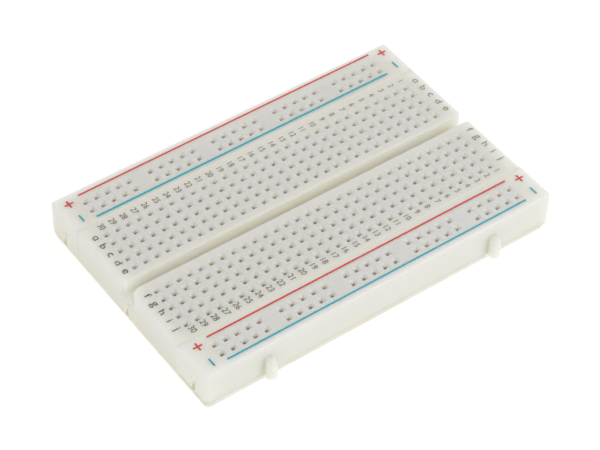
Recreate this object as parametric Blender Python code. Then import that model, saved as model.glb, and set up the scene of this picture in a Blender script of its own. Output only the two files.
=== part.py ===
"""Half-size solderless breadboard with 400 tie points.

Three interlocking plastic mouldings (a terminal block and two power rails) carry spring
strips in chambers that open downwards. A foam pad and its release liner close the chambers.

Frame: the origin is the centre of the base, where the liner rests, and +Z is up. X runs along
the board, with column 1 at the +X end. Row a is on the +Y side and row j on the -Y side.
Every dimension below is in millimetres; the meshes are made in metres.
"""

import math

import bmesh
import bpy

MM = 0.001

# The hole grid
PITCH = 2.54
COLUMNS = 30
ROWS_PER_BANK = 5
INNER_ROW = 3.81
RAIL_GROUPS = 5
HOLES_PER_GROUP = 5
GROUP_PITCH = 6 * PITCH
RAIL_INNER_ROW = 21.18
HOLE_SIDE = 1.1

# The outline of the assembled board
BOARD_LENGTH = 82.6
BOARD_WIDTH = 54.6
SEAM = 0.3
BLOCK_WIDTH = 35.4
CORNER_RADIUS = 0.5
TOP_EDGE_RADIUS = 0.4
CORNER_STEPS = 4
EDGE_STEPS = 2

# Heights, from the resting surface up
LINER_THICKNESS = 0.1
ADHESIVE_FILM = 0.05
FOAM_THICKNESS = 0.6
PLASTIC_HEIGHT = 8.1
BACKING_INSET = 0.15

# The ravine between the two banks of the terminal block
RAVINE_WIDTH = 2.5
RAVINE_DEPTH = 3.2

# The chambers that hold the spring strips
TOP_SKIN = 1.3
CHAMBER_WIDTH = 1.9
CHAMBER_END_ROOM = 0.95

# The spring strips
STRIP_METAL = 0.2
STRIP_FOOT_WIDTH = 1.5
STRIP_TIP_GAP = 0.16
STRIP_FOOT_ABOVE_PLASTIC_BASE = 0.2
STRIP_TIP_BELOW_CEILING = 0.3
LEAF_WIDTH = 1.7

# The locking tabs, and the slots that they slide into
TAB_LENGTH = 2.1
TAB_ROOT_WIDTH = 1.4
TAB_HEAD_WIDTH = 2.4
TAB_HEAD_AT = 0.85
TAB_ROOT_SUNK = 0.5
TAB_TOP_TAPER = 0.35
TAB_NOSE_STEPS = 6
TAB_CLEARANCE = 0.25
SIDE_TAB_X = 27.1
SIDE_TAB_TOP_BELOW = 3.6
END_TAB_TOP_BELOW = 4.3
SLOT_ABOVE_TAB = 0.3

# The model keeps to 60 objects, so the f-j bank's clips stop here and its last nine are left out
CLIPS_IN_FJ_BANK = 21

# How far a cutter runs past the face that it opens
PAST = 1.0

PLASTIC_BASE = LINER_THICKNESS + FOAM_THICKNESS + 2 * ADHESIVE_FILM
PLASTIC_TOP = PLASTIC_BASE + PLASTIC_HEIGHT
CHAMBER_CEILING = PLASTIC_TOP - TOP_SKIN
HALF_LENGTH = BOARD_LENGTH / 2
HALF_WIDTH = BOARD_WIDTH / 2
HALF_BLOCK = BLOCK_WIDTH / 2
RAIL_INNER_FACE = HALF_BLOCK + SEAM

IVORY = (0.80, 0.78, 0.72, 1.0)
NICKEL = (0.62, 0.60, 0.55, 1.0)
FOAM = (0.72, 0.68, 0.50, 1.0)
PAPER = (0.86, 0.84, 0.76, 1.0)


def clear_scene():
    for obj in list(bpy.data.objects):
        bpy.data.objects.remove(obj, do_unlink=True)


def plain_material(name, colour, roughness, metallic):
    material = bpy.data.materials.new(name)
    material.use_nodes = True
    shader = material.node_tree.nodes["Principled BSDF"]
    shader.inputs["Base Color"].default_value = colour
    shader.inputs["Roughness"].default_value = roughness
    shader.inputs["Metallic"].default_value = metallic
    return material


def mesh_object(name, points, faces, material=None):
    """An object made from points in millimetres and faces of point numbers."""
    mesh = bpy.data.meshes.new(name)
    mesh.from_pydata([(x * MM, y * MM, z * MM) for x, y, z in points], [], faces)
    work = bmesh.new()
    work.from_mesh(mesh)
    bmesh.ops.recalc_face_normals(work, faces=work.faces)
    work.to_mesh(mesh)
    work.free()
    if material:
        mesh.materials.append(material)
    obj = bpy.data.objects.new(name, mesh)
    bpy.context.collection.objects.link(obj)
    return obj


def smooth(obj):
    obj.data.shade_smooth()
    obj.data.set_sharp_from_angle(angle=math.radians(35))


def stack(rings, points, faces):
    """Adds a closed body that skins rings of equal length, from the first to the last."""
    start = len(points)
    count = len(rings[0])
    for ring in rings:
        points.extend(ring)
    for level in range(len(rings) - 1):
        low = start + level * count
        for i in range(count):
            j = (i + 1) % count
            faces.append((low + i, low + j, low + count + j, low + count + i))
    faces.append(tuple(start + i for i in reversed(range(count))))
    top = start + (len(rings) - 1) * count
    faces.append(tuple(top + i for i in range(count)))


def rounded_ring(x0, x1, y0, y1, radius, z):
    """A rectangle with round corners, anticlockwise, at height z."""
    centres = [
        (x1 - radius, y1 - radius),
        (x0 + radius, y1 - radius),
        (x0 + radius, y0 + radius),
        (x1 - radius, y0 + radius),
    ]
    ring = []
    for corner, (cx, cy) in enumerate(centres):
        for step in range(CORNER_STEPS + 1):
            angle = math.pi / 2 * (corner + step / CORNER_STEPS)
            ring.append((cx + radius * math.cos(angle), cy + radius * math.sin(angle), z))
    return ring


def slab(name, x0, x1, y0, y1, z0, z1, edge_radius, material):
    """A plate with round upright corners and, if edge_radius isn't 0, a round top edge."""
    rings = [rounded_ring(x0, x1, y0, y1, CORNER_RADIUS, z0)]
    for step in range(EDGE_STEPS + 1 if edge_radius else 1):
        angle = math.pi / 2 * step / EDGE_STEPS
        inset = edge_radius * (1 - math.cos(angle))
        z = z1 - edge_radius * (1 - math.sin(angle))
        radius = CORNER_RADIUS - inset
        rings.append(rounded_ring(x0 + inset, x1 - inset, y0 + inset, y1 - inset, radius, z))
    points = []
    faces = []
    stack(rings, points, faces)
    return mesh_object(name, points, faces, material)


def boxes(name, extents):
    """One mesh of separate boxes, each given as x0, x1, y0, y1, z0, z1."""
    points = []
    faces = []
    for x0, x1, y0, y1, z0, z1 in extents:
        outline = [(x0, y0), (x1, y0), (x1, y1), (x0, y1)]
        stack([[(x, y, z) for x, y in outline] for z in (z0, z1)], points, faces)
    return mesh_object(name, points, faces)


def dovetail(tip, grow):
    """Half of a tab's outline, as (across, outwards) pairs from its root to the middle of its nose.

    tip is where the nose ends, and grow widens the outline on every side.
    """
    wall = TAB_HEAD_WIDTH / 2 + grow
    head_at = TAB_HEAD_AT - (TAB_LENGTH - tip)
    flare = (TAB_HEAD_WIDTH - TAB_ROOT_WIDTH) / 2 / TAB_HEAD_AT
    half = [(wall - flare * (head_at + TAB_ROOT_SUNK), -TAB_ROOT_SUNK), (wall, head_at)]
    nose = tip + grow - head_at
    for step in range(1, TAB_NOSE_STEPS + 1):
        angle = math.pi / 2 * step / TAB_NOSE_STEPS
        half.append((wall * math.cos(angle), head_at + nose * math.sin(angle)))
    return half


def dovetail_rings(tip, grow, z0, z1, taper):
    """Rings of the whole outline, mirrored about its middle, from z0 up to z1.

    A taper above 0 draws the nose back by that much over the top of the tab.
    """
    half = dovetail(tip, grow)
    outline = half + [(-across, out) for across, out in reversed(half[:-1])]
    rings = [[(across, out, z) for across, out in outline] for z in (z0, z1 - taper)]
    if taper:
        rings.append([(across, min(out, out * (1 - taper / tip)), z1) for across, out in outline])
    return rings


def turned(rings, place, outwards):
    """Rings moved to place = (x, y), with their second axis along outwards = (dx, dy)."""
    px, py = place
    dx, dy = outwards
    return [
        [(px + across * dy + out * dx, py - across * dx + out * dy, z) for across, out, z in ring]
        for ring in rings
    ]


def joint_places(y0, y1):
    """Where one moulding's tabs and slots go: (place, outwards, depth of the top below the face)."""
    middle = (y0 + y1) / 2
    tabs = [((x, y0), (0, -1), SIDE_TAB_TOP_BELOW) for x in (-SIDE_TAB_X, SIDE_TAB_X)]
    tabs.append(((HALF_LENGTH, middle), (1, 0), END_TAB_TOP_BELOW))
    slots = [((x, y1), (0, -1), SIDE_TAB_TOP_BELOW) for x in (-SIDE_TAB_X, SIDE_TAB_X)]
    slots.append(((-HALF_LENGTH, middle), (1, 0), END_TAB_TOP_BELOW))
    return tabs, slots


def tab_group(name, tabs):
    points = []
    faces = []
    for place, outwards, below in tabs:
        rings = dovetail_rings(TAB_LENGTH, 0, PLASTIC_BASE, PLASTIC_TOP - below, TAB_TOP_TAPER)
        stack(turned(rings, place, outwards), points, faces)
    return mesh_object(name, points, faces)


def slot_group(name, slots):
    points = []
    faces = []
    for place, outwards, below in slots:
        top = PLASTIC_TOP - below + SLOT_ABOVE_TAB
        rings = dovetail_rings(TAB_LENGTH - SEAM, TAB_CLEARANCE, PLASTIC_BASE - PAST, top, 0)
        stack(turned(rings, place, outwards), points, faces)
    return mesh_object(name, points, faces)


def combine(body, other, operation):
    """Keeps other as a hidden operand of a Boolean on body."""
    other.hide_render = True
    other.display_type = "WIRE"
    modifier = body.modifiers.new(other.name, "BOOLEAN")
    modifier.operation = operation
    modifier.solver = "EXACT"
    modifier.object = other


def column_x(column):
    """Column 1 is at the +X end."""
    return ((COLUMNS + 1) / 2 - column) * PITCH


def bank_rows(side):
    """The five rows' places in Y on one side of the ravine, from the inside outwards."""
    return [side * (INNER_ROW + PITCH * row) for row in range(ROWS_PER_BANK)]


def rail_xs():
    """The places of one rail row's holes, in groups of five."""
    places = []
    for group in range(RAIL_GROUPS):
        middle = (group - (RAIL_GROUPS - 1) / 2) * GROUP_PITCH
        for hole in range(HOLES_PER_GROUP):
            places.append(middle + (hole - (HOLES_PER_GROUP - 1) / 2) * PITCH)
    return places


def rail_rows(side):
    return [side * RAIL_INNER_ROW, side * (RAIL_INNER_ROW + PITCH)]


def hole_boxes(places):
    half = HOLE_SIDE / 2
    low = CHAMBER_CEILING - PAST
    high = PLASTIC_TOP + PAST
    return [(x - half, x + half, y - half, y + half, low, high) for x, y in places]


def chamber_box(xs, ys):
    """The chamber under a row of holes whose centres span xs and ys."""
    room_x = CHAMBER_END_ROOM if max(xs) > min(xs) else CHAMBER_WIDTH / 2
    room_y = CHAMBER_END_ROOM if max(ys) > min(ys) else CHAMBER_WIDTH / 2
    return (
        min(xs) - room_x,
        max(xs) + room_x,
        min(ys) - room_y,
        max(ys) + room_y,
        PLASTIC_BASE - PAST,
        CHAMBER_CEILING,
    )


def moulding(name, y0, y1, material):
    """A moulding's outer shape with its tabs and slots."""
    body = slab(
        name,
        -HALF_LENGTH,
        HALF_LENGTH,
        y0,
        y1,
        PLASTIC_BASE,
        PLASTIC_TOP,
        TOP_EDGE_RADIUS,
        material,
    )
    tabs, slots = joint_places(y0, y1)
    combine(body, tab_group(name + "_tabs", tabs), "UNION")
    combine(body, slot_group(name + "_slots", slots), "DIFFERENCE")
    return body


def main_block(material):
    body = moulding("main_block", -HALF_BLOCK, HALF_BLOCK, material)
    half = RAVINE_WIDTH / 2
    past_end = HALF_LENGTH + PAST
    floor = PLASTIC_TOP - RAVINE_DEPTH
    ravine = (-past_end, past_end, -half, half, floor, PLASTIC_TOP + PAST)
    combine(body, boxes("ravine", [ravine]), "DIFFERENCE")
    chambers = []
    holes = []
    for side in (1, -1):
        rows = bank_rows(side)
        for column in range(1, COLUMNS + 1):
            x = column_x(column)
            chambers.append(chamber_box([x], rows))
            holes += [(x, y) for y in rows]
    combine(body, boxes("block_chambers", chambers), "DIFFERENCE")
    combine(body, boxes("block_holes", hole_boxes(holes)), "DIFFERENCE")
    smooth(body)


def power_rail(name, side, material):
    low, high = sorted((side * RAIL_INNER_FACE, side * HALF_WIDTH))
    body = moulding(name, low, high, material)
    xs = rail_xs()
    chambers = [chamber_box(xs, [y]) for y in rail_rows(side)]
    holes = [(x, y) for y in rail_rows(side) for x in xs]
    combine(body, boxes(name + "_chambers", chambers), "DIFFERENCE")
    combine(body, boxes(name + "_holes", hole_boxes(holes)), "DIFFERENCE")
    smooth(body)


def strip_profile():
    """The spring strip's section, as (outer, inner) pairs of (across, up) points, leg to leg."""
    foot = STRIP_FOOT_WIDTH / 2
    tip = STRIP_TIP_GAP / 2
    rise = CHAMBER_CEILING - STRIP_TIP_BELOW_CEILING - PLASTIC_BASE - STRIP_FOOT_ABOVE_PLASTIC_BASE
    right = [((foot, 0), (foot - STRIP_METAL, STRIP_METAL))]
    right.append(((tip + STRIP_METAL, rise), (tip, rise)))
    left = [((-ox, oz), (-ix, iz)) for (ox, oz), (ix, iz) in reversed(right)]
    return left + right


def strip_mesh(name, contacts, material):
    """A spring strip along its own first axis: a foot with a pair of leaves at each contact.

    The strip is a grid of cells, one for each stretch of the section and each stretch of the
    length. The leaf cells are left out between two contacts, and a face is made wherever a
    cell has no neighbour.
    """
    profile = strip_profile()
    base = PLASTIC_BASE + STRIP_FOOT_ABOVE_PLASTIC_BASE
    foot_cell = len(profile) // 2 - 1
    cuts = sorted(at + half for at in contacts for half in (-LEAF_WIDTH / 2, LEAF_WIDTH / 2))
    points = []
    for along in cuts:
        for pair in profile:
            points += [(along, across, base + up) for across, up in pair]
    width = 2 * len(profile)
    cells = {
        (stretch, cell)
        for stretch in range(len(cuts) - 1)
        for cell in range(len(profile) - 1)
        if stretch % 2 == 0 or cell == foot_cell
    }
    faces = []
    for stretch, cell in cells:
        near = stretch * width + 2 * cell
        far = near + width
        faces.append((near, far, far + 2, near + 2))
        faces.append((near + 1, near + 3, far + 3, far + 1))
        if (stretch - 1, cell) not in cells:
            faces.append((near, near + 2, near + 3, near + 1))
        if (stretch + 1, cell) not in cells:
            faces.append((far, far + 1, far + 3, far + 2))
        if (stretch, cell - 1) not in cells:
            faces.append((near, near + 1, far + 1, far))
        if (stretch, cell + 1) not in cells:
            faces.append((near + 2, far + 2, far + 3, near + 3))
    return mesh_object(name, points, faces, material)


def terminal_clips(material):
    """The five-way strips under the half columns, which all share one mesh."""
    contacts = [(row - (ROWS_PER_BANK - 1) / 2) * PITCH for row in range(ROWS_PER_BANK)]
    mesh = None
    for bank, side, count in (("ae", 1, COLUMNS), ("fj", -1, CLIPS_IN_FJ_BANK)):
        middle = sum(bank_rows(side)) / ROWS_PER_BANK
        for column in range(1, count + 1):
            name = f"terminal_clip_{bank}_{column:02d}"
            if mesh is None:
                clip = strip_mesh(name, contacts, material)
                mesh = clip.data
            else:
                clip = bpy.data.objects.new(name, mesh)
                bpy.context.collection.objects.link(clip)
            clip.location = (column_x(column) * MM, middle * MM, 0)
            clip.rotation_euler = (0, 0, math.pi / 2)


def bus_strips(material):
    """One strip under each row of a rail: both rails have their red, positive row on the +Y side."""
    for place, side in (("far", 1), ("near", -1)):
        for sign, y in zip(("negative", "positive"), sorted(rail_rows(side))):
            strip = strip_mesh(f"bus_strip_{place}_{sign}", rail_xs(), material)
            strip.location = (0, y * MM, 0)


def backing(foam_material, liner_material):
    """The foam pad and the paper under it, a little smaller than the board."""
    x = HALF_LENGTH - BACKING_INSET
    y = HALF_WIDTH - BACKING_INSET
    foam_base = LINER_THICKNESS + ADHESIVE_FILM
    slab("foam_pad", -x, x, -y, y, foam_base, foam_base + FOAM_THICKNESS, 0, foam_material)
    slab("release_liner", -x, x, -y, y, 0, LINER_THICKNESS, 0, liner_material)


def main():
    clear_scene()
    main_block(plain_material("block_plastic", IVORY, 0.45, 0.0))
    power_rail("far_power_rail", 1, plain_material("far_rail_plastic", IVORY, 0.45, 0.0))
    power_rail("near_power_rail", -1, plain_material("near_rail_plastic", IVORY, 0.45, 0.0))
    terminal_clips(plain_material("clip_nickel", NICKEL, 0.3, 1.0))
    bus_strips(plain_material("bus_nickel", NICKEL, 0.3, 1.0))
    backing(plain_material("foam", FOAM, 0.9, 0.0), plain_material("liner_paper", PAPER, 0.7, 0.0))


main()
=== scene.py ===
import math

import bmesh
import bpy
from mathutils import Matrix, Vector, noise


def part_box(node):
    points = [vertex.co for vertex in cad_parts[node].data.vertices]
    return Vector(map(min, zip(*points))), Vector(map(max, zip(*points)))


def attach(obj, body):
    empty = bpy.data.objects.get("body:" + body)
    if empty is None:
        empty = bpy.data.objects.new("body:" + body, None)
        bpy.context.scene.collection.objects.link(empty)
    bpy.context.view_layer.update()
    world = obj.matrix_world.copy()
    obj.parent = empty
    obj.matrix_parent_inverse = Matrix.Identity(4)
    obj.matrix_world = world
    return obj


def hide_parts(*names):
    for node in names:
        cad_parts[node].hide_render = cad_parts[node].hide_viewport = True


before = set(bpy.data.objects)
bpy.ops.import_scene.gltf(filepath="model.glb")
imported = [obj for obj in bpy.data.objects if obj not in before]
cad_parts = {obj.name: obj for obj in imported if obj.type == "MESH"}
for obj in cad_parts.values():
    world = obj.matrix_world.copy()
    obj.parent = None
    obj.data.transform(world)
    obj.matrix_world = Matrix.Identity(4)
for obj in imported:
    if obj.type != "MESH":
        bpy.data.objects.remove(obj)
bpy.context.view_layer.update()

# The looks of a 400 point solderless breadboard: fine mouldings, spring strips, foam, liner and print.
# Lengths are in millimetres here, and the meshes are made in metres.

MM = 0.001

# How far a body that cuts reaches past what it cuts
PAST = 1.0

# Points of a mesh that are closer than this, in metres, become one
WELD_DISTANCE = 1e-7

# The hole grid
PITCH = 2.54
COLUMNS = 30
ROWS_PER_BANK = 5
INNER_ROW = 3.81
RAIL_GROUPS = 5
HOLES_PER_GROUP = 5
GROUP_PITCH = 6 * PITCH
RAIL_INNER_ROW = 21.18

# The mouldings. The near rail sits a little further towards +X than the CAD's.
EDGE_RADIUS = 0.4
SHARP_EDGE_RADIUS = 0.08
SEAM_EDGE_RADIUS = 0.45
SEAM_SHARP_EDGE_RADIUS = 0.03
EDGE_STEPS = 7
FOOT_RADIUS = 0.015
FOOT_STEPS = 2
CORNER_STEPS = 8
WORN_CORNER = 1.1
OUTER_CORNER = 0.25
INNER_CORNER = 0.03
LEAST_CORNER = 0.02
SEAM_AT = 17.63
SEAM_GAP = 0.012
NEAR_FACE_SET_BACK = 0.12
NEAR_RAIL_SHIFT = 0.25
NEAR_RAIL_SET_BACK = 0.12
PRINT_ROOM = 0.02
MOULDING_SHARP_ANGLE = 32

# The ravine, with the far bank's lip and mouth radii before the near bank's
RAVINE_WIDTH = 2.44
RAVINE_DEPTH = 3.2
RAVINE_LIPS = (0.4, 0.12)
RAVINE_LIP_RISE = 0.004
RAVINE_FLARE = 0.3
RAVINE_MOUTHS = {"left": (1.9, 2.4), "right": (0.5, 0.9)}
RAVINE_MOUTH_OUT = 0.01
RAVINE_FLOOR_END = 1.3
RAVINE_FILLET = 0.5
RAVINE_STEPS = 6
RAVINE_END_STEPS = 8

# The holes, as depths below the top with half widths along X and Y, and the chambers under them
HOLE_RINGS = (
    (0.62, 0.42, 0.37), (0.44, 0.43, 0.38), (0.08, 0.76, 0.71), (0.02, 0.82, 0.77),
    (-0.02, 0.89, 0.84), (-0.3, 0.95, 0.90),
)
HOLE_CORNER = 0.28
TOP_SKIN = 1.3
CHAMBER_WIDTH = 1.9

# The dovetail tabs and slots. A tab's top rounds through TAB_TOP_TURN of a quarter turn and
# narrows towards TAB_TOP_WIDTH of its width.
SIDE_TAB_ROOT_WIDTH = 1.9
END_TAB_ROOT_WIDTH = 0.9
TAB_HEAD_WIDTH = 2.4
TAB_HEAD_AT = 0.85
TAB_ROOT_SUNK = 0.5
TAB_NOSE_STEPS = 12
TAB_NOSE_BACK = 0.01
TAB_FOOT_RISE = 0.02
TAB_TOP_STEPS = 6
TAB_TOP_ROUND = 1.6
TAB_TOP_TURN = 0.93
TAB_TOP_WIDTH = 0.45
TAB_CLEARANCE = 0.05
SIDE_TAB_X = 27.1
SIDE_TAB_TOP_BELOW = 3.2
END_TAB_TOP_BELOW = 4.3
SLOT_ABOVE_TAB = 0.1

# The backing, with its uneven cut edge as waves for each millimetre along it and up it
BACKING_CORNER = 1.0
BACKING_REACH = 0.12
BACKING_RIGHT_REACH = 0.27
BACKING_GAP = 0.004
BACKING_SPACING = 0.4
BACKING_WAVES = 0.9
BACKING_LAYERS = 2
BACKING_SHARP_ANGLE = 60
FOAM_SEED = 0.0
FOAM_ROUGHNESS = 0.03
FOAM_EASE = 0.06
FOAM_FOOT_INSET = 0.03
FOAM_WAIST_INSET = 0.04
LINER_SEED = 5.0
LINER_ROUGHNESS = 0.01
LINER_EASE = 0.02

# The spring strips. LEAF_LINE has half widths at shares of the strip's height.
STRIP_METAL = 0.2
STRIP_FOOT = 0.62
STRIP_BEND = 0.16
STRIP_BEND_STEPS = 3
STRIP_SHARP_ANGLE = 40
LEAF_WIDTH = 1.7
LEAF_LINE = ((0.5, 0.45), (0.27, 0.72), (0.17, 0.8), (0.16, 0.84), (0.24, 0.9), (0.42, 1.0))

# The print. BAR_CORNER is a corner's radius as a share of the bar's width.
INK_SUNK = 0.004
INK_RAISED = 0.014
RED_LINE_WIDTH = 0.38
BLUE_LINE_WIDTHS = {"far": 0.48, "near": 0.4}
BAR_CORNER = 0.18
BAR_CORNER_STEPS = 3
PLUS_WIDTH = 0.36
MINUS_WIDTH = 0.4
MARK_SIZE = 2.0
PRINT_TURN = math.radians(0.36)
NEAR_RED_LINE_TURN = math.radians(-0.12)
LETTER_SIZE = 2.4
LETTER_WIDENING = 1.12
LETTER_WEIGHT = 0.005
ROUND_A = "\u0251"
ROUND_A_SIZE = 0.82
TALL_LETTERS = "bdfhij"
TALL_LETTER_HEIGHT = 0.86
NUMBER_SIZE = 1.85
NUMBER_WEIGHT = 0.0
NUMBER_SHIFT = 0.33

# The stage, in metres
FLOOR_WIDTH = 3.0
FLOOR_GAP = 0.00005

# The plastic's tints. Low down, the walls yellow to the foot tints, which are painted shade: darker and
# yellower, for the shade at the foot and the yellow light the foam bounces up.
BLACK = (0.0, 0.0, 0.0)
WHITE = (1.0, 1.0, 1.0)
BLOCK_TINT = (0.87, 0.87, 0.82)
RAIL_TINT = (0.885, 0.87, 0.825)
# The near rail is a paler copy of the rail plastic: its paler tint is painted light.
NEAR_RAIL_LIT_TINT = (0.945, 0.925, 0.87)
FOOT_SHADE_TINT = (0.82, 0.805, 0.68)
NEAR_FOOT_SHADE_TINT = (0.85, 0.845, 0.76)
# The walls' tint is darker than the tops': painted shade that tempers the light the walls get from the
# floor.
WALL_SHADE_TINT = (0.835, 0.835, 0.79)
# Inside the holes, ravine, slots and seams the tint is paler and warmer: painted light, for the light
# that comes through the plastic.
INNER_GLOW_TINT = (0.97, 0.945, 0.85)
# The top's solid margins are paler: a painted glow, for the light that comes through the plastic where
# it has no holes.
MARGIN_GLOW_TONE = (1.035, 1.04, 1.05)
# The end walls are a little darker: painted shade.
END_WALL_SHADE_TONE = (0.965, 0.958, 0.958)

# The light that comes through the plastic to its hidden faces
HOLE_GLOW = (0.036, 0.031, 0.023)
RIGHT_HOLE_GLOW = (0.052, 0.046, 0.036)
RAVINE_GLOW = (0.008, 0.008, 0.006)
SLOT_GLOW = (0.045, 0.044, 0.041)
SLOT_FOOT_GLOW = (0.13, 0.128, 0.12)
SEAM_GLOW = (0.15, 0.147, 0.137)
SEAM_END_GLOW = (0.11, 0.108, 0.1)
FOOT_GLOW = (0.215, 0.211, 0.195)

# How far tints and glows reach: in from the ends and sides, out from the middle, or about a seam.
# Each margin has where it starts and where it is full.
WALL_ZONE = 0.6
END_WALL_ZONE = 0.05
END_DARK_ZONE = 0.2
SIDE_DARK_ZONE = 1.3
END_MARGIN = (3.0, 1.5)
SIDE_MARGIN = (1.7, 1.0)
SLOT_ZONE = 2.5
RAVINE_ZONE = 1.9
SEAM_ZONE = 0.02

# Heights where tints and glows change, as shares of the whole height. INSIDE is down in the holes
# and in the ravine, and FLAT_TOP is above everything but the top face.
FOOT_END = 0.1
SLOT_FOOT_END = 0.33
SLOT_START = 0.38
SLOT_END = 0.6
SLOT_OVER = 0.62
WALL_START = 0.7
INSIDE = 0.93
HOLE_GLOW_END = 0.965
WALL_END = 0.97
INSIDE_END = 0.985
TOP_START = 0.99
FLAT_TOP = 0.997

# Each ink in full, where it is thin, and at the +X end, where it is paler
RED_INK = ((0.77, 0.03, 0.035), (0.80, 0.08, 0.08), (0.79, 0.06, 0.06))
BLUE_INK = ((0.0, 0.46, 0.595), (0.03, 0.50, 0.64), (0.04, 0.49, 0.62))
DARK_INK = ((0.10, 0.09, 0.06), (0.20, 0.18, 0.14), (0.35, 0.33, 0.27))


def box_mm(node):
    """A CAD node's lowest and highest corners."""
    low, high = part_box(node)
    return low / MM, high / MM


block_low, block_high = box_mm("main_block")
far_high = box_mm("far_power_rail")[1]
near_high = box_mm("near_power_rail")[1]
foam_low, foam_high = box_mm("foam_pad")
liner_low, liner_high = box_mm("release_liner")

HALF_LENGTH = -block_low.x
TAB_LENGTH = block_high.x - HALF_LENGTH
HALF_WIDTH = far_high.y
RAIL_INNER_FACE = -near_high.y
BASE = block_low.z
CAD_TOP = block_high.z
TOP = CAD_TOP - PRINT_ROOM
CEILING = CAD_TOP - TOP_SKIN
INK_LOW = TOP - INK_SUNK
INK_HIGH = TOP + INK_RAISED


# ---------------------------------------------------------------- meshes

def new_object(name, data):
    obj = bpy.data.objects.new(name, data)
    bpy.context.scene.collection.objects.link(obj)
    return obj


def mesh_object(name, points, faces, material=None):
    """An object made from points in millimetres and faces of point numbers."""
    mesh = bpy.data.meshes.new(name)
    mesh.from_pydata([(x * MM, y * MM, z * MM) for x, y, z in points], [], faces)
    work = bmesh.new()
    work.from_mesh(mesh)
    bmesh.ops.recalc_face_normals(work, faces=work.faces)
    work.to_mesh(mesh)
    work.free()
    if material:
        mesh.materials.append(material)
    return new_object(name, mesh)


def smooth(obj, angle):
    """Shades smooth, but leaves edges sharper than this angle in degrees as they are."""
    obj.data.shade_smooth()
    obj.data.set_sharp_from_angle(angle=math.radians(angle))


def stack(rings, points, faces):
    """Adds a closed body that skins rings of equal length, from the first to the last."""
    start = len(points)
    count = len(rings[0])
    for ring in rings:
        points.extend(ring)
    for level in range(len(rings) - 1):
        low = start + level * count
        for i in range(count):
            j = (i + 1) % count
            faces.append((low + i, low + j, low + count + j, low + count + i))
    faces.append(tuple(start + i for i in reversed(range(count))))
    top = start + (len(rings) - 1) * count
    faces.append(tuple(top + i for i in range(count)))


def rounded_ring(x0, x1, y0, y1, radii, z, steps=CORNER_STEPS):
    """A rectangle at height z with its own radius at each corner, from +X +Y round anticlockwise."""
    signs = ((1, 1), (-1, 1), (-1, -1), (1, -1))
    ring = []
    for corner, ((sx, sy), radius) in enumerate(zip(signs, radii)):
        cx = (x1 if sx > 0 else x0) - sx * radius
        cy = (y1 if sy > 0 else y0) - sy * radius
        for step in range(steps + 1):
            angle = math.pi / 2 * (corner + step / steps)
            ring.append((cx + radius * math.cos(angle), cy + radius * math.sin(angle), z))
    return ring


def carve(body, cuts):
    """Applies (other, operation) Booleans to body in turn and removes the others."""
    for other, operation in cuts:
        modifier = body.modifiers.new(other.name, "BOOLEAN")
        modifier.operation = operation
        modifier.solver = "EXACT"
        modifier.object = other
    graph = bpy.context.evaluated_depsgraph_get()
    made = bpy.data.meshes.new_from_object(body.evaluated_get(graph))
    body.modifiers.clear()
    body.data = made
    for other, _ in cuts:
        bpy.data.objects.remove(other, do_unlink=True)


# ---------------------------------------------------------------- the mouldings

def fillet(depth, radius):
    """How far a rounded edge of this radius draws back at this depth behind the face it meets."""
    if depth >= radius:
        return 0.0
    return radius - math.sqrt(radius ** 2 - (radius - depth) ** 2)


def shell(name, x0, x1, y0, y1, edges, radii, material):
    """A moulding's outer body. edges are its top edges' radii on the -Y and +Y sides, and radii
    those of its upright corners, from +X +Y round anticlockwise."""
    levels = []
    for step in range(FOOT_STEPS + 1):
        angle = math.pi / 2 * step / FOOT_STEPS
        levels.append(BASE + FOOT_RADIUS * (1 - math.cos(angle)))
    for step in range(EDGE_STEPS + 1):
        angle = math.pi / 2 * step / EDGE_STEPS
        levels.append(TOP - EDGE_RADIUS * (1 - math.sin(angle)))
    rings = []
    for z in levels:
        foot = fillet(z - BASE, FOOT_RADIUS)
        left, right, low, high = [
            foot + fillet(TOP - z, radius) for radius in (EDGE_RADIUS, SHARP_EDGE_RADIUS, *edges)
        ]
        shrunk = [max(radius - max(left, low), LEAST_CORNER) for radius in radii]
        rings.append(rounded_ring(x0 + left, x1 - right, y0 + low, y1 - high, shrunk, z))
    points = []
    faces = []
    stack(rings, points, faces)
    return mesh_object(name, points, faces, material)


def dovetail(root_width, tip, grow):
    """Half of a tab's outline, as (across, outwards) pairs from its root to the middle of its nose."""
    wall = TAB_HEAD_WIDTH / 2 + grow
    head_at = TAB_HEAD_AT - (TAB_LENGTH - tip)
    flare = (TAB_HEAD_WIDTH - root_width) / 2 / TAB_HEAD_AT
    half = [(wall - flare * (head_at + TAB_ROOT_SUNK), -TAB_ROOT_SUNK), (wall, head_at)]
    nose = tip + grow - head_at
    for step in range(1, TAB_NOSE_STEPS + 1):
        angle = math.pi / 2 * step / TAB_NOSE_STEPS
        half.append((wall * math.cos(angle), head_at + nose * math.sin(angle)))
    return half


def dovetail_rings(root_width, tip, grow, z0, z1, top_round):
    """Rings of the whole outline from z0 up to z1. top_round draws the tab in over its top."""
    half = dovetail(root_width, tip, grow)
    outline = half + [(-across, out) for across, out in reversed(half[:-1])]
    levels = [(z0, 1.0)]
    steps = TAB_TOP_STEPS if top_round else 0
    for step in range(steps + 1):
        angle = math.pi / 2 * step / max(steps, 1) * TAB_TOP_TURN
        levels.append((z1 - top_round * (1 - math.sin(angle)), math.cos(angle)))
    rings = []
    for z, share in levels:
        keep = TAB_TOP_WIDTH + (1 - TAB_TOP_WIDTH) * share
        rings.append([
            (across * keep, out * share if out > 0 else out, z) for across, out in outline
        ])
    return rings


def turned(rings, place, outwards):
    """Rings moved to place = (x, y), with their second axis along outwards = (dx, dy)."""
    px, py = place
    dx, dy = outwards
    return [
        [(px + across * dy + out * dx, py - across * dx + out * dy, z) for across, out, z in ring]
        for ring in rings
    ]


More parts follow.
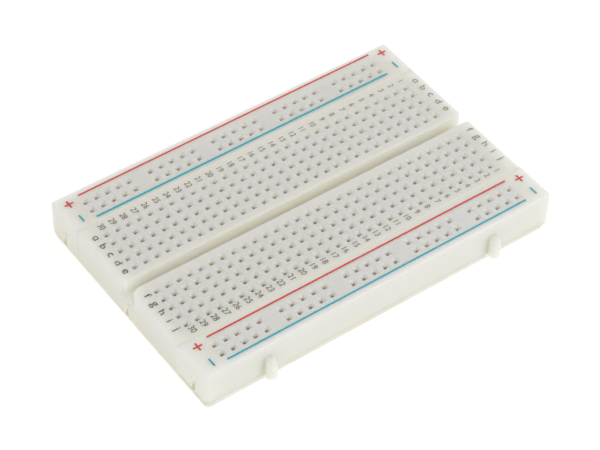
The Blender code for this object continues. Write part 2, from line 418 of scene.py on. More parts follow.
def joint_places(y0, y1, middle):
    """Where one moulding's tabs and slots go.

    Each is its place, the way it points, the depth of a tab's top below the face and its root width.
    """
    tabs = []
    slots = []
    for x in (-SIDE_TAB_X, SIDE_TAB_X):
        tabs.append(((x, y0), (0, -1), SIDE_TAB_TOP_BELOW, SIDE_TAB_ROOT_WIDTH))
        slots.append(((x, y1), (0, -1), SIDE_TAB_TOP_BELOW, SIDE_TAB_ROOT_WIDTH))
    tabs.append(((HALF_LENGTH, middle), (1, 0), END_TAB_TOP_BELOW, END_TAB_ROOT_WIDTH))
    slots.append(((-HALF_LENGTH, middle), (1, 0), END_TAB_TOP_BELOW, END_TAB_ROOT_WIDTH))
    return tabs, slots


def tab_group(tabs):
    points = []
    faces = []
    for place, outwards, below, root in tabs:
        tip = TAB_LENGTH - TAB_NOSE_BACK
        rings = dovetail_rings(root, tip, 0, BASE + TAB_FOOT_RISE, CAD_TOP - below, TAB_TOP_ROUND)
        stack(turned(rings, place, outwards), points, faces)
    return mesh_object("tabs", points, faces)


def slot_group(slots):
    points = []
    faces = []
    for place, outwards, below, root in slots:
        top = CAD_TOP - below + SLOT_ABOVE_TAB
        rings = dovetail_rings(root, TAB_LENGTH, TAB_CLEARANCE, BASE - PAST, top, 0)
        stack(turned(rings, place, outwards), points, faces)
    return mesh_object("slots", points, faces)


def column_x(column):
    """Column 1 is at the +X end."""
    return ((COLUMNS + 1) / 2 - column) * PITCH


def bank_rows(side):
    """The places of a bank's rows along Y. side is 1 for the far bank and -1 for the near one."""
    return [side * (INNER_ROW + PITCH * row) for row in range(ROWS_PER_BANK)]


def rail_xs(side):
    """The places of a rail's holes along X. side is 1 for the far rail and -1 for the near one."""
    shift = NEAR_RAIL_SHIFT if side < 0 else 0.0
    places = []
    for group in range(RAIL_GROUPS):
        middle = (group - (RAIL_GROUPS - 1) / 2) * GROUP_PITCH
        for hole in range(HOLES_PER_GROUP):
            places.append(middle + (hole - (HOLES_PER_GROUP - 1) / 2) * PITCH + shift)
    return places


def rail_rows(side):
    return [side * RAIL_INNER_ROW, side * (RAIL_INNER_ROW + PITCH)]


def hole_group(places):
    """Square funnels with eased corners, from above the top down into the chambers."""
    points = []
    faces = []
    for x, y in places:
        rings = []
        levels = [(TOP - CEILING + PAST / 2, *HOLE_RINGS[0][1:])] + list(HOLE_RINGS)
        for depth, across, along in levels:
            ring = rounded_ring(
                x - across, x + across, y - along, y + along,
                [HOLE_CORNER * along] * 4, TOP - depth, steps=1,
            )
            rings.append(ring)
        stack(rings, points, faces)
    return mesh_object("holes", points, faces)


def chamber_group(rows):
    """Chambers open below. Each entry of rows is the holes' X places and Y places over one chamber."""
    points = []
    faces = []
    for xs, ys in rows:
        x0, x1 = min(xs) - CHAMBER_WIDTH / 2, max(xs) + CHAMBER_WIDTH / 2
        y0, y1 = min(ys) - CHAMBER_WIDTH / 2, max(ys) + CHAMBER_WIDTH / 2
        outline = [(x0, y0), (x1, y0), (x1, y1), (x0, y1)]
        stack([[(x, y, z) for x, y in outline] for z in (BASE - PAST, CEILING)], points, faces)
    return mesh_object("chambers", points, faces)


def ravine_side(half, lip, low):
    """Half of the ravine's section, from its floor up over the lip: (across, height) pairs."""
    side = []
    for step in range(RAVINE_STEPS + 1):
        angle = math.pi / 2 * step / RAVINE_STEPS
        across = half - RAVINE_FILLET * (1 - math.sin(angle))
        side.append((across, low + RAVINE_FILLET * (1 - math.cos(angle))))
    top = TOP + RAVINE_LIP_RISE
    for step in range(RAVINE_STEPS + 1):
        angle = math.pi / 2 * step / RAVINE_STEPS
        across = half + lip * (1 - math.cos(angle))
        side.append((across, top - lip * (1 - math.sin(angle))))
    side.append((half + lip + RAVINE_FLARE, TOP + PAST))
    return side


def ravine_section(x, depth, mouths):
    """The section at x, depth behind the end face, where both banks and the floor round off."""
    low = CAD_TOP - RAVINE_DEPTH - fillet(depth, RAVINE_FLOOR_END)
    far, near = [
        ravine_side(RAVINE_WIDTH / 2 + fillet(depth, mouth), lip, low)
        for mouth, lip in zip(mouths, RAVINE_LIPS)
    ]
    return [(x, y, z) for y, z in far] + [(x, -y, z) for y, z in reversed(near)]


def ravine():
    """The channel between the banks, with a rounded mouth at each end."""
    sections = []
    for side, sign in (("right", 1), ("left", -1)):
        mouths = RAVINE_MOUTHS[side]
        half = [ravine_section(sign * (HALF_LENGTH + PAST), 0, mouths)]
        for step in range(RAVINE_END_STEPS + 1):
            depth = max(mouths) * (1 - math.cos(math.pi / 2 * step / RAVINE_END_STEPS))
            x = sign * (HALF_LENGTH + RAVINE_MOUTH_OUT - depth)
            half.append(ravine_section(x, depth, mouths))
        sections += half if sign > 0 else half[::-1]
    points = []
    faces = []
    stack(sections, points, faces)
    return mesh_object("ravine", points, faces)


def finish_moulding(body, holes, chambers, joints, extra):
    """Adds the tabs and cuts the slots, the extra bodies, the chambers and the holes."""
    tabs, slots = joints
    cuts = [(tab_group(tabs), "UNION"), (slot_group(slots), "DIFFERENCE")]
    cuts += [(other, "DIFFERENCE") for other in extra]
    cuts += [(chamber_group(chambers), "DIFFERENCE"), (hole_group(holes), "DIFFERENCE")]
    carve(body, cuts)
    if max(vertex.co.z for vertex in body.data.vertices) < (TOP - EDGE_RADIUS) * MM:
        raise RuntimeError(f"carving {body.name} left nothing of its shell")
    smooth(body, MOULDING_SHARP_ANGLE)
    weighted = body.modifiers.new("even_shading", "WEIGHTED_NORMAL")
    weighted.keep_sharp = True
    weighted.weight = 100
    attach(body, "root")


def terminal_block(material):
    far = SEAM_AT - SEAM_GAP / 2
    near = -far
    edges = (SEAM_EDGE_RADIUS, SEAM_SHARP_EDGE_RADIUS)
    corners = [INNER_CORNER] * 4
    body = shell(
        "terminal_block_moulding", -HALF_LENGTH, HALF_LENGTH, near, far, edges, corners, material
    )
    holes = []
    chambers = []
    for side in (1, -1):
        for column in range(1, COLUMNS + 1):
            chambers.append(([column_x(column)], bank_rows(side)))
            holes += [(column_x(column), y) for y in bank_rows(side)]
    finish_moulding(body, holes, chambers, joint_places(near, far, 0), [ravine()])
    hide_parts("main_block")


def power_rail(name, node, side, material):
    x0 = -HALF_LENGTH
    x1 = HALF_LENGTH
    if side > 0:
        y0 = SEAM_AT + SEAM_GAP / 2
        y1 = HALF_WIDTH
        edges = (SEAM_EDGE_RADIUS, SHARP_EDGE_RADIUS)
        radii = [OUTER_CORNER, OUTER_CORNER, INNER_CORNER, INNER_CORNER]
    else:
        x0 += NEAR_RAIL_SET_BACK
        x1 += NEAR_RAIL_SHIFT
        y0 = NEAR_FACE_SET_BACK - HALF_WIDTH
        y1 = -SEAM_AT - SEAM_GAP / 2
        edges = (EDGE_RADIUS, SEAM_SHARP_EDGE_RADIUS)
        radii = [INNER_CORNER, INNER_CORNER, WORN_CORNER, OUTER_CORNER]
    body = shell(name, x0, x1, y0, y1, edges, radii, material)
    holes = [(x, y) for y in rail_rows(side) for x in rail_xs(side)]
    chambers = [(rail_xs(side), [y]) for y in rail_rows(side)]
    middle = side * (RAIL_INNER_FACE + HALF_WIDTH) / 2
    finish_moulding(body, holes, chambers, joint_places(y0, y1, middle), [])
    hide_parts(node)


# ---------------------------------------------------------------- the spring strips

def strip_centre_line(height):
    """Half of a strip's bent section, from the middle of its foot to the flared tip of a leaf."""
    flat = STRIP_FOOT - STRIP_BEND
    line = [(0.0, 0.0), (flat, 0.0)]
    for step in range(1, STRIP_BEND_STEPS + 1):
        angle = math.pi / 2 * step / STRIP_BEND_STEPS
        line.append((flat + STRIP_BEND * math.sin(angle), STRIP_BEND * (1 - math.cos(angle))))
    return line + [(across, share * height) for across, share in LEAF_LINE]


def strip_profile(height):
    """The whole section as (outer, inner) pairs of points, STRIP_METAL apart, leg to leg."""
    right = strip_centre_line(height)
    line = [(-across, up) for across, up in reversed(right[1:])] + right
    pairs = []
    for i, (across, up) in enumerate(line):
        before = line[max(i - 1, 0)]
        after = line[min(i + 1, len(line) - 1)]
        along = Vector((after[0] - before[0], after[1] - before[1])).normalized()
        shift = Vector((along.y, -along.x)) * STRIP_METAL / 2
        pairs.append(((across + shift.x, up + shift.y), (across - shift.x, up - shift.y)))
    return pairs


def strip_mesh(name, contacts, base, height, material):
    """A comb-shaped strip along its own first axis: a foot, and a pair of leaves at each contact.

    The strip is a grid of cells, one for each stretch of the section and of the length. The leaf
    cells are left out between two contacts, and a face is made wherever a cell has no neighbour.
    """
    profile = strip_profile(height)
    middle = len(profile) // 2
    foot_reach = STRIP_BEND_STEPS + 1
    foot_cells = range(middle - foot_reach, middle + foot_reach)
    cuts = sorted(at + half for at in contacts for half in (-LEAF_WIDTH / 2, LEAF_WIDTH / 2))
    points = []
    for along in cuts:
        for pair in profile:
            points += [(along, across, base + STRIP_METAL / 2 + up) for across, up in pair]
    width = 2 * len(profile)
    cells = {
        (stretch, cell)
        for stretch in range(len(cuts) - 1)
        for cell in range(len(profile) - 1)
        if stretch % 2 == 0 or cell in foot_cells
    }
    faces = []
    for stretch, cell in sorted(cells):
        near = stretch * width + 2 * cell
        far = near + width
        faces.append((near, far, far + 2, near + 2))
        faces.append((near + 1, near + 3, far + 3, far + 1))
        if (stretch - 1, cell) not in cells:
            faces.append((near, near + 2, near + 3, near + 1))
        if (stretch + 1, cell) not in cells:
            faces.append((far, far + 1, far + 3, far + 2))
        if (stretch, cell - 1) not in cells:
            faces.append((near, near + 1, far + 1, far))
        if (stretch, cell + 1) not in cells:
            faces.append((near + 2, far + 2, far + 3, near + 3))
    obj = mesh_object(name, points, faces, material)
    smooth(obj, STRIP_SHARP_ANGLE)
    return obj


def terminal_clips(material):
    """The five-way clips, which all share one mesh."""
    low, high = box_mm("terminal_clip_ae_01")
    contacts = [(row - (ROWS_PER_BANK - 1) / 2) * PITCH for row in range(ROWS_PER_BANK)]
    height = high.z - low.z - STRIP_METAL
    mesh = None
    for bank, side in (("ae", 1), ("fj", -1)):
        middle = sum(bank_rows(side)) / ROWS_PER_BANK
        for column in range(1, COLUMNS + 1):
            name = f"spring_clip_{bank}_{column:02d}"
            if mesh is None:
                clip = strip_mesh(name, contacts, low.z, height, material)
                mesh = clip.data
            else:
                clip = new_object(name, mesh)
            clip.location = (column_x(column) * MM, middle * MM, 0)
            clip.rotation_euler = (0, 0, math.pi / 2)
            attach(clip, "root")
            node = f"terminal_clip_{bank}_{column:02d}"
            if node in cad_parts:
                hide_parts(node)


def bus_strips(material):
    for place, side in (("far", 1), ("near", -1)):
        for sign, y in zip(("negative", "positive"), sorted(rail_rows(side))):
            node = f"bus_strip_{place}_{sign}"
            low, high = box_mm(node)
            height = high.z - low.z - STRIP_METAL
            name = f"bus_spring_{place}_{sign}"
            strip = strip_mesh(name, rail_xs(side), low.z, height, material)
            strip.location = (0, y * MM, 0)
            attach(strip, "root")
            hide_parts(node)


# ---------------------------------------------------------------- the backing

def cut_sheet(name, low, high, levels, roughness, seed, material):
    """A sheet with a slightly uneven cut edge and rounded corners. levels are (height, inset)."""
    corners = [(low.x, low.y), (high.x, low.y), (high.x, high.y), (low.x, high.y)]
    outline = []
    for i, start in enumerate(corners):
        end = corners[(i + 1) % 4]
        count = max(1, round(math.dist(start, end) / BACKING_SPACING))
        for step in range(count):
            share = step / count
            x = start[0] + (end[0] - start[0]) * share
            y = start[1] + (end[1] - start[1]) * share
            reach = high.x if x > 0 else -low.x
            past_x = abs(x) - reach + BACKING_CORNER
            past_y = abs(y) - high.y + BACKING_CORNER
            if past_x > 0 and past_y > 0:
                drawn = BACKING_CORNER / math.hypot(past_x, past_y)
                x = math.copysign(reach + past_x * drawn - BACKING_CORNER, x)
                y = math.copysign(high.y + past_y * drawn - BACKING_CORNER, y)
            outline.append((x, y))
    rings = []
    for z, inset in levels:
        ring = []
        for x, y in outline:
            place = Vector((x * BACKING_WAVES, y * BACKING_WAVES, z * BACKING_LAYERS + seed))
            wave = noise.noise(place)
            back = inset + roughness * (1 + wave)
            ring.append((x * (1 - back / high.x), y * (1 - back / high.y), z))
        rings.append(ring)
    points = []
    faces = []
    stack(rings, points, faces)
    return mesh_object(name, points, faces, material)


def backing(foam_look, liner_look):
    """The foam pad, bonded under the mouldings, and the liner under the foam."""
    base = liner_high.z + BACKING_GAP
    top = BASE - BACKING_GAP
    levels = [
        (base, FOAM_FOOT_INSET), (base + FOAM_EASE, 0.0), ((base + top) / 2, FOAM_WAIST_INSET),
        (top - FOAM_EASE, 0.0), (top, 0.0),
    ]
    low = foam_low - Vector((BACKING_REACH, 0, 0))
    high = foam_high + Vector((BACKING_RIGHT_REACH, 0, 0))
    foam = cut_sheet("foam_tape", low, high, levels, FOAM_ROUGHNESS, FOAM_SEED, foam_look)
    smooth(foam, BACKING_SHARP_ANGLE)
    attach(foam, "root")
    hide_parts("foam_pad")
    levels = [(liner_low.z, LINER_EASE), (liner_low.z + LINER_EASE, 0.0), (liner_high.z, 0.0)]
    liner = cut_sheet(
        "peel_off_liner", liner_low, liner_high, levels, LINER_ROUGHNESS, LINER_SEED, liner_look
    )
    smooth(liner, BACKING_SHARP_ANGLE)
    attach(liner, "root")
    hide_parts("release_liner")


# ---------------------------------------------------------------- the print

def lay_print(obj, turn):
    """Turns a printed piece about the board's middle and attaches it to the root body."""
    obj.data.transform(Matrix.Rotation(turn, 4, "Z"))
    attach(obj, "root")


def ink_bars(name, bars, turn, material):
    """Printed bars, each given by its centre, length along X, width along Y, all turned together."""
    points = []
    faces = []
    for x, y, length, width in bars:
        radii = [min(length, width) * BAR_CORNER] * 4
        x0, x1 = x - length / 2, x + length / 2
        y0, y1 = y - width / 2, y + width / 2
        rings = [
            rounded_ring(x0, x1, y0, y1, radii, z, BAR_CORNER_STEPS) for z in (INK_LOW, INK_HIGH)
        ]
        stack(rings, points, faces)
    lay_print(mesh_object(name, points, faces, material), turn)


def plus_marks(name, centres, turn, material):
    """Plus marks, each one closed body with twelve corners."""
    points = []
    faces = []
    long = MARK_SIZE / 2
    thin = PLUS_WIDTH / 2
    outline = [
        (long, -thin), (long, thin), (thin, thin), (thin, long), (-thin, long), (-thin, thin),
        (-long, thin), (-long, -thin), (-thin, -thin), (-thin, -long), (thin, -long), (thin, -thin),
    ]
    for cx, cy in centres:
        rings = [[(cx + x, cy + y, z) for x, y in outline] for z in (INK_LOW, INK_HIGH)]
        stack(rings, points, faces)
    lay_print(mesh_object(name, points, faces, material), turn)


def lettering(name, words, size, widening, weight, turn, material):
    """Printed characters that read along -Y with their tops towards +X. words are (text, x, y)."""
    work = bmesh.new()
    for text, x, y in words:
        curve = bpy.data.curves.new("glyphs", "FONT")
        curve.body = text
        curve.size = (ROUND_A_SIZE if text == ROUND_A else 1.0) * size * MM
        curve.offset = weight * MM
        curve.align_x = "CENTER"
        curve.resolution_u = 4
        curve.extrude = (INK_HIGH - INK_LOW) / 2 * MM
        holder = new_object("glyphs", curve)
        graph = bpy.context.evaluated_depsgraph_get()
        mesh = bpy.data.meshes.new_from_object(holder.evaluated_get(graph))
        place = Matrix.Translation((x * MM, y * MM, (INK_LOW + INK_HIGH) / 2 * MM))
        height = TALL_LETTER_HEIGHT if text in TALL_LETTERS else 1.0
        mesh.transform(
            place @ Matrix.Rotation(-math.pi / 2, 4, "Z") @ Matrix.Diagonal((widening, height, 1, 1))
        )
        work.from_mesh(mesh)
        bpy.data.objects.remove(holder, do_unlink=True)
        bpy.data.meshes.remove(mesh)
        bpy.data.curves.remove(curve)
    bmesh.ops.remove_doubles(work, verts=work.verts, dist=WELD_DISTANCE)
    made = bpy.data.meshes.new(name)
    work.to_mesh(made)
    work.free()
    made.materials.append(material)
    lay_print(new_object(name, made), turn)


def rail_print(red, blue):
    """The rails' lines and marks.

    A line has its name, middle, length and turn, and a blue one its width. A mark's places come in
    pairs, left and right.
    """
    red_lines = (
        ("far_red_line", (0.46, 26.18), 72.4, PRINT_TURN),
        ("near_red_line", (0.52, -19.03), 72.0, NEAR_RED_LINE_TURN),
    )
    blue_lines = (
        ("far_blue_line", (0.35, 19.24), 72.2, PRINT_TURN, BLUE_LINE_WIDTHS["far"]),
        ("near_blue_line", (0.6, -25.54), 71.9, 0.0, BLUE_LINE_WIDTHS["near"]),
    )
    for name, (x, y), length, turn in red_lines:
        ink_bars(name, [(x, y, length, RED_LINE_WIDTH)], turn, red)
    for name, (x, y), length, turn, width in blue_lines:
        ink_bars(name, [(x, y, length, width)], turn, blue)
    pluses = (
        ("far_plus_marks", ((-38.46, 25.14), (39.39, 25.1)), PRINT_TURN),
        ("near_plus_marks", ((-38.19, -19.93), (39.3, -20.15)), 0),
    )
    minuses = (
        ("far_minus_marks", ((-38.44, 20.52), (39.42, 20.51)), PRINT_TURN),
        ("near_minus_marks", ((-38.14, -24.52), (39.43, -24.4)), 0),
    )
    for name, places, turn in pluses:
        plus_marks(name, places, turn, red)
    for name, places, turn in minuses:
        bars = [(x, y, MINUS_WIDTH, MARK_SIZE) for x, y in places]
        ink_bars(name, bars, turn, blue)


def block_print(dark):
    """The row letters, with each bank's place, shift and stretch along Y, and the column numbers."""
    columns = (
        ("row_letters_left", (-39.6, 0.25, 1.04), (-39.63, 0.04, 1.0)),
        ("row_letters_right", (39.27, 0.12, 1.0), (39.25, 0.03, 1.0)),
    )
    for name, *banks in columns:
        words = []
        for letters, side, (x, shift, stretch) in zip(("edcb" + ROUND_A, "fghij"), (1, -1), banks):
            rows = bank_rows(side)
            middle = sum(rows) / len(rows)
            words += [
                (letter, x, middle + (y - middle) * stretch + shift) for letter, y in zip(letters, rows)
            ]
        lettering(name, words, LETTER_SIZE, LETTER_WIDENING, LETTER_WEIGHT, PRINT_TURN, dark)
    numbers = (("column_numbers_far", 16.11, 0.86), ("column_numbers_near", -15.82, 0.93))
    for name, y, widening in numbers:
        words = [(str(n), column_x(n) - NUMBER_SHIFT, y) for n in range(1, COLUMNS + 1)]
        lettering(name, words, NUMBER_SIZE, widening, NUMBER_WEIGHT, 0, dark)


# ---------------------------------------------------------------- materials

def new_material(name):
    material = bpy.data.materials.new(name)
    material.use_nodes = True
    tree = material.node_tree
    return material, tree, tree.nodes["Principled BSDF"]


def add_node(tree, kind, **settings):
    node = tree.nodes.new(kind)
    for key, value in settings.items():
        setattr(node, key, value)
    return node


def set_inputs(node, **values):
    """Sets a node's inputs by their names, with underscores for spaces."""
    for key, value in values.items():
        node.inputs[key.replace("_", " ")].default_value = value


def grey(value):
    return (value, value, value)


def own_space(tree):
    """Places in the object's own space, in metres."""
    return add_node(tree, "ShaderNodeTexCoord").outputs["Object"]


def own_axes(tree):
    """The X, Y and Z of those places."""
    split = add_node(tree, "ShaderNodeSeparateXYZ")
    tree.links.new(own_space(tree), split.inputs[0])
    return split.outputs["X"], split.outputs["Y"], split.outputs["Z"]


def noise_node(tree, scale, detail, roughness=0.5):
    """Noise in the object's own space. scale is in features per metre."""
    texture = add_node(tree, "ShaderNodeTexNoise")
    set_inputs(texture, Scale=scale, Detail=detail, Roughness=roughness)
    tree.links.new(own_space(tree), texture.inputs["Vector"])
    return texture.outputs["Fac"]


def stretched_noise(tree, scales, detail, roughness=0.5):
    """Noise with its own number of features per metre along each axis."""
    stretch = add_node(tree, "ShaderNodeMapping")
    set_inputs(stretch, Scale=scales)
    tree.links.new(own_space(tree), stretch.inputs["Vector"])
    texture = add_node(tree, "ShaderNodeTexNoise")
    set_inputs(texture, Scale=1.0, Detail=detail, Roughness=roughness)
    tree.links.new(stretch.outputs["Vector"], texture.inputs["Vector"])
    return texture.outputs["Fac"]


def ramp_node(tree, value, stops):
    ramp = add_node(tree, "ShaderNodeValToRGB")
    while len(ramp.color_ramp.elements) < len(stops):
        ramp.color_ramp.elements.new(0.5)
    for element, (at, colour) in zip(ramp.color_ramp.elements, stops):
        element.position = at
        element.color = (*colour, 1.0)
    tree.links.new(value, ramp.inputs["Fac"])
    return ramp.outputs["Color"]


def math_node(tree, operation, *values):
    node = add_node(tree, "ShaderNodeMath", operation=operation)
    for socket, value in zip(node.inputs, values):
        if isinstance(value, (int, float)):
            socket.default_value = value
        else:
            tree.links.new(value, socket)
    return node.outputs[0]


def mix_node(tree, share, first, second, blend="MIX"):
    node = add_node(tree, "ShaderNodeMix", data_type="RGBA", blend_type=blend)
    for socket, value in ((node.inputs[0], share), (node.inputs[6], first), (node.inputs[7], second)):
        if isinstance(value, (int, float)):
            socket.default_value = value
        elif isinstance(value, tuple):
            socket.default_value = (*value, 1.0)
        else:
            tree.links.new(value, socket)
    return node.outputs[2]


def multiply(tree, first, second):
    """One colour times another."""
    return mix_node(tree, 1.0, first, second, "MULTIPLY")


def add_bump(tree, shader, height, strength, distance):
    bump = add_node(tree, "ShaderNodeBump")
    set_inputs(bump, Strength=strength, Distance=distance)
    tree.links.new(height, bump.inputs["Height"])
    tree.links.new(bump.outputs["Normal"], shader.inputs["Normal"])


def patchy_roughness(tree, shader, scale, detail, low, high):
    """A roughness that wanders between low and high."""
    patches = noise_node(tree, scale, detail)
    rough = ramp_node(tree, patches, [(0.3, grey(low)), (0.7, grey(high))])
    tree.links.new(rough, shader.inputs["Roughness"])


def beyond(tree, value, limit):
    """1 where value is further than limit in millimetres from 0, on either side."""
    return math_node(tree, "GREATER_THAN", math_node(tree, "ABSOLUTE", value), limit * MM)


def rise(tree, value, start, end):
    """0 up to start and 1 from end on, both in millimetres."""
    share = add_node(tree, "ShaderNodeMapRange")
    set_inputs(share, From_Min=start * MM, From_Max=end * MM)
    tree.links.new(value, share.inputs["Value"])
    return share.outputs["Result"]


def margin(tree, value, half, widths):
    """A fade from 0 to 1 between two distances in from an edge that is half from the middle."""
    return rise(tree, math_node(tree, "ABSOLUTE", value), half - widths[0], half - widths[1])


def rim(tree, x, y, end_width, side_width):
    """1 within these widths in millimetres of the board's ends and of its sides."""
    past_end = beyond(tree, x, HALF_LENGTH - end_width)
    past_side = beyond(tree, y, HALF_WIDTH - side_width)
    return math_node(tree, "MAXIMUM", past_end, past_side)


def ivory_tint(tree, x, y, height, top_tint, foot_shade_tint):
    """Painted light and shade in the tint: yellower and darker low down on the outer walls, painted
    shade with the foam's yellow bounce light; walls darker than the top, painted shade; paler and
    warmer inside the openings and paler at the top's margins, painted light through the plastic; and a
    little darker on the end walls, painted shade.
    """
    # Painted shade: the walls darker than the top, and darker and yellower low down at the foot
    wall_shade_tint = ramp_node(
        tree, height,
        [(FOOT_END, foot_shade_tint), (WALL_START, WALL_SHADE_TINT), (WALL_END, WALL_SHADE_TINT), (TOP_START, top_tint)],
    )
    # Painted light: a paler, warmer tint inside the holes, ravine, slots and seams
    inner_glow_tint = ramp_node(tree, height, [(INSIDE, INNER_GLOW_TINT), (INSIDE_END, top_tint)])
    tint = mix_node(tree, rim(tree, x, y, WALL_ZONE, WALL_ZONE), inner_glow_tint, wall_shade_tint)
    # Painted glow: a paler top within the margins
    near_end = margin(tree, x, HALF_LENGTH, END_MARGIN)
    near_side = margin(tree, y, HALF_WIDTH, SIDE_MARGIN)
    near_edge = math_node(tree, "MAXIMUM", near_end, near_side)
    on_top = math_node(tree, "GREATER_THAN", height, FLAT_TOP)
    in_margin = math_node(tree, "MULTIPLY", near_edge, on_top)
    tint = multiply(tree, tint, mix_node(tree, in_margin, WHITE, MARGIN_GLOW_TONE))
    # Painted shade: darker end walls
    on_end_wall = beyond(tree, x, HALF_LENGTH - END_WALL_ZONE)
    return multiply(tree, tint, mix_node(tree, on_end_wall, WHITE, END_WALL_SHADE_TONE))


def ivory_glow(tree, x, y, z, height):
    """What light through the plastic adds to its holes, ravine, slots, seams and foot.

    A glow stands in for it, and the outer walls outside the seams and the foot have none.
    """
    hole_glow = mix_node(tree, rise(tree, x, 0.0, HALF_LENGTH), HOLE_GLOW, RIGHT_HOLE_GLOW)
    down_hole = ramp_node(tree, height, [(INSIDE, WHITE), (HOLE_GLOW_END, BLACK)])
    in_holes = multiply(tree, hole_glow, down_hole)
    in_ravine = ramp_node(tree, height, [(INSIDE, RAVINE_GLOW), (INSIDE_END, BLACK)])
    in_slots = ramp_node(
        tree, height,
        [
            (SLOT_FOOT_END, SLOT_FOOT_GLOW), (SLOT_START, SLOT_GLOW),
            (SLOT_END, SLOT_GLOW), (SLOT_OVER, BLACK),
        ],
    )
    glow = mix_node(tree, beyond(tree, y, RAVINE_ZONE), in_ravine, in_holes)
    glow = mix_node(tree, rim(tree, x, y, SLOT_ZONE, SLOT_ZONE), glow, in_slots)
    glow = mix_node(tree, rim(tree, x, y, END_DARK_ZONE, SIDE_DARK_ZONE), glow, BLACK)
    from_seam = math_node(tree, "SUBTRACT", math_node(tree, "ABSOLUTE", y), SEAM_AT * MM)
    at_end = beyond(tree, x, HALF_LENGTH - NEAR_RAIL_SET_BACK - SEAM_ZONE)
    in_seam = mix_node(tree, at_end, SEAM_GLOW, SEAM_END_GLOW)
    glow = mix_node(tree, beyond(tree, from_seam, SEAM_ZONE), in_seam, glow)
    above_foot = math_node(tree, "GREATER_THAN", z, (BASE + SEAM_ZONE) * MM)
    return mix_node(tree, above_foot, FOOT_GLOW, glow)


def ivory_plastic(name, top_tint, foot_shade_tint):
    """Translucent satin ABS with flow clouds and a spark-eroded grain."""
    material, tree, shader = new_material(name)
    x, y, z = own_axes(tree)
    height = math_node(tree, "MULTIPLY", z, 1 / (CAD_TOP * MM))
    clouds = noise_node(tree, scale=55.0, detail=4.0, roughness=0.6)
    cloud_tone = ramp_node(tree, clouds, [(0.3, (0.985, 0.98, 0.96)), (0.72, WHITE)])
    specks = noise_node(tree, scale=2600.0, detail=2.0, roughness=0.7)
    speck_tone = ramp_node(tree, specks, [(0.2, (0.965, 0.963, 0.955)), (0.45, WHITE)])
    tint = ivory_tint(tree, x, y, height, top_tint, foot_shade_tint)
    colour = multiply(tree, multiply(tree, tint, cloud_tone), speck_tone)
    tree.links.new(colour, shader.inputs["Base Color"])
    tree.links.new(ivory_glow(tree, x, y, z, height), shader.inputs["Emission Color"])
    material.cycles.emission_sampling = "NONE"
    patchy_roughness(tree, shader, scale=140.0, detail=3.0, low=0.28, high=0.36)
    set_inputs(shader, Emission_Strength=1.0, IOR=1.5, Specular_IOR_Level=0.5)
    set_inputs(shader, Subsurface_Weight=1.0, Subsurface_Scale=0.003)
    set_inputs(shader, Subsurface_Radius=(1.0, 0.95, 0.8))
    grain = noise_node(tree, scale=5200.0, detail=3.0, roughness=0.6)
    add_bump(tree, shader, grain, strength=0.12, distance=0.00002)
    return material


def spring_metal():
    """Nickel plate with drawing lines along the strip and a brown tarnish in patches."""
    material, tree, shader = new_material("nickel_plate")
    clouds = noise_node(tree, scale=700.0, detail=3.0)
    colour = ramp_node(tree, clouds, [(0.3, (0.62, 0.55, 0.42)), (0.7, (0.78, 0.72, 0.60))])
    tree.links.new(colour, shader.inputs["Base Color"])
    set_inputs(shader, Metallic=0.85)
    patchy_roughness(tree, shader, scale=2500.0, detail=2.0, low=0.3, high=0.5)
    lines = stretched_noise(tree, scales=(300.0, 9000.0, 9000.0), detail=2.0)
    add_bump(tree, shader, lines, strength=0.15, distance=0.00001)
    return material


def foam_material():
    """Closed-cell foam that lets some light through, drawn as a painted glow: round cells with painted
    shade in their pits, a little yellowed by adhesive.
    """
    material, tree, shader = new_material("closed_cell_foam")
    cells = add_node(tree, "ShaderNodeTexVoronoi")
    set_inputs(cells, Scale=5200.0)
    tree.links.new(own_space(tree), cells.inputs["Vector"])
    pits = cells.outputs["Distance"]
    # Painted shade: darker at the bottoms of the cell pits
    colour = ramp_node(tree, pits, [(0.05, (0.78, 0.76, 0.65)), (0.5, (0.93, 0.92, 0.84))])
    stain = noise_node(tree, scale=90.0, detail=3.0)
    stain_tone = ramp_node(tree, stain, [(0.35, (0.95, 0.93, 0.82)), (0.65, WHITE)])
    tree.links.new(multiply(tree, colour, stain_tone), shader.inputs["Base Color"])
    # Painted glow: the emission stands in for light that comes through the foam
    tree.links.new(colour, shader.inputs["Emission Color"])
    set_inputs(shader, Emission_Strength=0.04, Roughness=0.9, Specular_IOR_Level=0.2)
    material.cycles.emission_sampling = "NONE"
    add_bump(tree, shader, pits, strength=0.6, distance=0.00006)
    return material


def paper_material():
    """Silicone-coated paper with a faint fibre and a low sheen."""
    material, tree, shader = new_material("release_paper")
    fibres = stretched_noise(tree, scales=(900.0, 3200.0, 3200.0), detail=5.0, roughness=0.65)
    colour = ramp_node(tree, fibres, [(0.3, (0.76, 0.73, 0.62)), (0.7, (0.84, 0.82, 0.73))])
    tree.links.new(colour, shader.inputs["Base Color"])
    patchy_roughness(tree, shader, scale=400.0, detail=2.0, low=0.42, high=0.56)
    add_bump(tree, shader, fibres, strength=0.15, distance=0.00002)
    return material


def ink(name, colour, thin_colour, plus_x_colour):
    """Screen-printed ink: a touch thinner in places, paler towards +X, with an orange peel."""
    material, tree, shader = new_material(name)
    cover = noise_node(tree, scale=3200.0, detail=3.0, roughness=0.6)
    tone = ramp_node(tree, cover, [(0.36, thin_colour), (0.55, colour)])
    x, _, _ = own_axes(tree)
    along = math_node(tree, "MULTIPLY_ADD", x, 0.5 / (HALF_LENGTH * MM), 0.5)
    tree.links.new(mix_node(tree, along, tone, plus_x_colour), shader.inputs["Base Color"])
    patchy_roughness(tree, shader, scale=900.0, detail=2.0, low=0.45, high=0.6)
    add_bump(tree, shader, cover, strength=0.2, distance=0.00001)
    return material


# ---------------------------------------------------------------- the stage

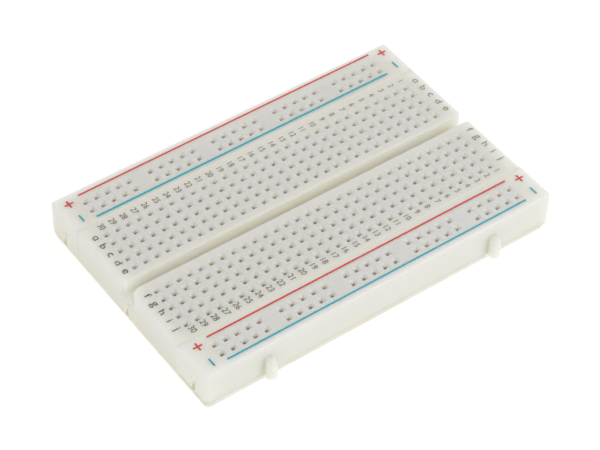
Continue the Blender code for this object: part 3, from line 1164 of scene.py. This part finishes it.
def stage_floor():
    """A plain white floor just under the liner, mostly lit from within."""
    half = FLOOR_WIDTH / 2
    mesh = bpy.data.meshes.new("floor")
    corners = [(-half, -half, 0), (half, -half, 0), (half, half, 0), (-half, half, 0)]
    mesh.from_pydata(corners, [], [(0, 1, 2, 3)])
    floor = new_object("floor", mesh)
    floor.location.z = -FLOOR_GAP
    material, _, shader = new_material("pale_floor")
    set_inputs(shader, Roughness=0.9, Specular_IOR_Level=0.0)
    set_inputs(shader, Base_Color=(*grey(0.15), 1.0))
    set_inputs(shader, Emission_Color=(*WHITE, 1.0), Emission_Strength=0.9)
    mesh.materials.append(material)


def area_light(name, azimuth, elevation, distance, size, power):
    """A square soft box that points at the board, with its size and distance in metres.

    Azimuth 0 is on the -Y side and 90 on the +X side.
    """
    light = bpy.data.lights.new(name, "AREA")
    light.shape = "SQUARE"
    light.size = size
    light.energy = power
    obj = new_object(name, light)
    turn = math.radians(azimuth)
    tilt = math.radians(elevation)
    way = Vector((math.sin(turn) * math.cos(tilt), -math.cos(turn) * math.cos(tilt), math.sin(tilt)))
    obj.location = way * distance
    obj.rotation_euler = way.to_track_quat("Z", "Y").to_euler()


def studio_light():
    world = bpy.data.worlds.new("studio")
    bpy.context.scene.world = world
    world.use_nodes = True
    background = world.node_tree.nodes["Background"]
    set_inputs(background, Color=(1.0, 0.99, 0.96, 1.0), Strength=0.72)
    area_light("key", azimuth=38.0, elevation=36.0, distance=0.9, size=0.25, power=1.0)
    bpy.context.scene.view_settings.view_transform = "Standard"


def camera():
    """A long lens from the left front, a little rolled."""
    azimuth = math.radians(37.01)
    elevation = math.radians(46.72)
    roll = math.radians(1.687)
    target = Vector((-4.41, -5.58, CAD_TOP))
    distance = 417.94
    flat = math.cos(elevation)
    forward = Vector((math.sin(azimuth) * flat, math.cos(azimuth) * flat, -math.sin(elevation)))
    level = Vector((math.cos(azimuth), -math.sin(azimuth), 0.0))
    right = math.cos(roll) * level + math.sin(roll) * level.cross(forward)
    up = right.cross(forward)
    data = bpy.data.cameras.new("camera")
    data.lens = 127.98
    data.sensor_width = 36.0
    data.clip_start = 0.01
    data.clip_end = 10.0
    obj = new_object("camera", data)
    axes = Matrix((right, up, -forward)).transposed().to_4x4()
    obj.matrix_world = Matrix.Translation((target - forward * distance) * MM) @ axes
    bpy.context.scene.camera = obj


# ---------------------------------------------------------------- the whole

def build():
    camera()
    studio_light()
    stage_floor()
    terminal_block(ivory_plastic("ivory_block", BLOCK_TINT, FOOT_SHADE_TINT))
    rail_material = ivory_plastic("ivory_rail", RAIL_TINT, FOOT_SHADE_TINT)
    power_rail("far_rail_moulding", "far_power_rail", 1, rail_material)
    # The near rail gets a paler copy of the rail plastic: painted light.
    lit_near_rail_material = ivory_plastic("ivory_near_rail_lit", NEAR_RAIL_LIT_TINT, NEAR_FOOT_SHADE_TINT)
    power_rail("near_rail_moulding", "near_power_rail", -1, lit_near_rail_material)
    metal = spring_metal()
    terminal_clips(metal)
    bus_strips(metal)
    backing(foam_material(), paper_material())
    rail_print(ink("red_print", *RED_INK), ink("blue_print", *BLUE_INK))
    block_print(ink("dark_print", *DARK_INK))


build()
